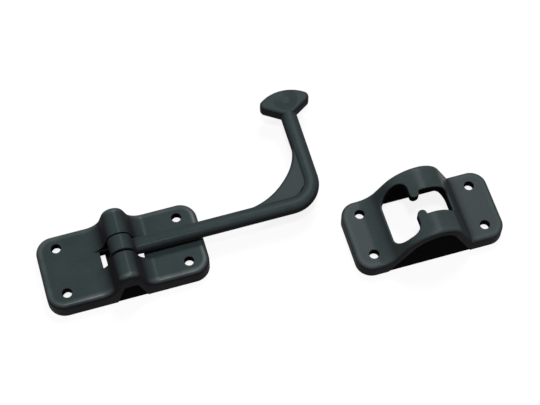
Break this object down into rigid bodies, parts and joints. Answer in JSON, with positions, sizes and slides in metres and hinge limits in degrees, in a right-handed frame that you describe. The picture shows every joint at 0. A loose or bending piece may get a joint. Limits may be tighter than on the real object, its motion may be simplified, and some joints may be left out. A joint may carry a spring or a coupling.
{
  "type": "door holder",
  "caption": "Door holder: a T-headed arm that swings on a screw-down hinge plate, and a separate humped keeper plate whose keyhole catches the T head.",
  "frame": {"origin": "middle of the hinge plate's four screw holes, on the face that is screwed down", "axes": "+X along the hinge plate and the arm's first leg, +Y along the hinge pin, +Z out of the mounting face"},
  "size_m": [0.2209, 0.1044, 0.0273],
  "materials": {
    "black_plastic": "satin moulded, very dark grey with a slight green cast",
    "pin_steel": "drawn wire"
  },
  "bodies": {
    "base": {"hinge_plate": "black_plastic", "pivot_pin": "pin_steel", "keeper": "black_plastic"},
    "arm": {"holder_arm": "black_plastic"}
  },
  "joints": [
    {"name": "arm_pivot", "type": "hinge", "parent": "base", "child": "arm", "pos_m": [0, 0, 0.01645], "axis": [0, -1, 0], "range_deg": [0, 188]}
  ]
}
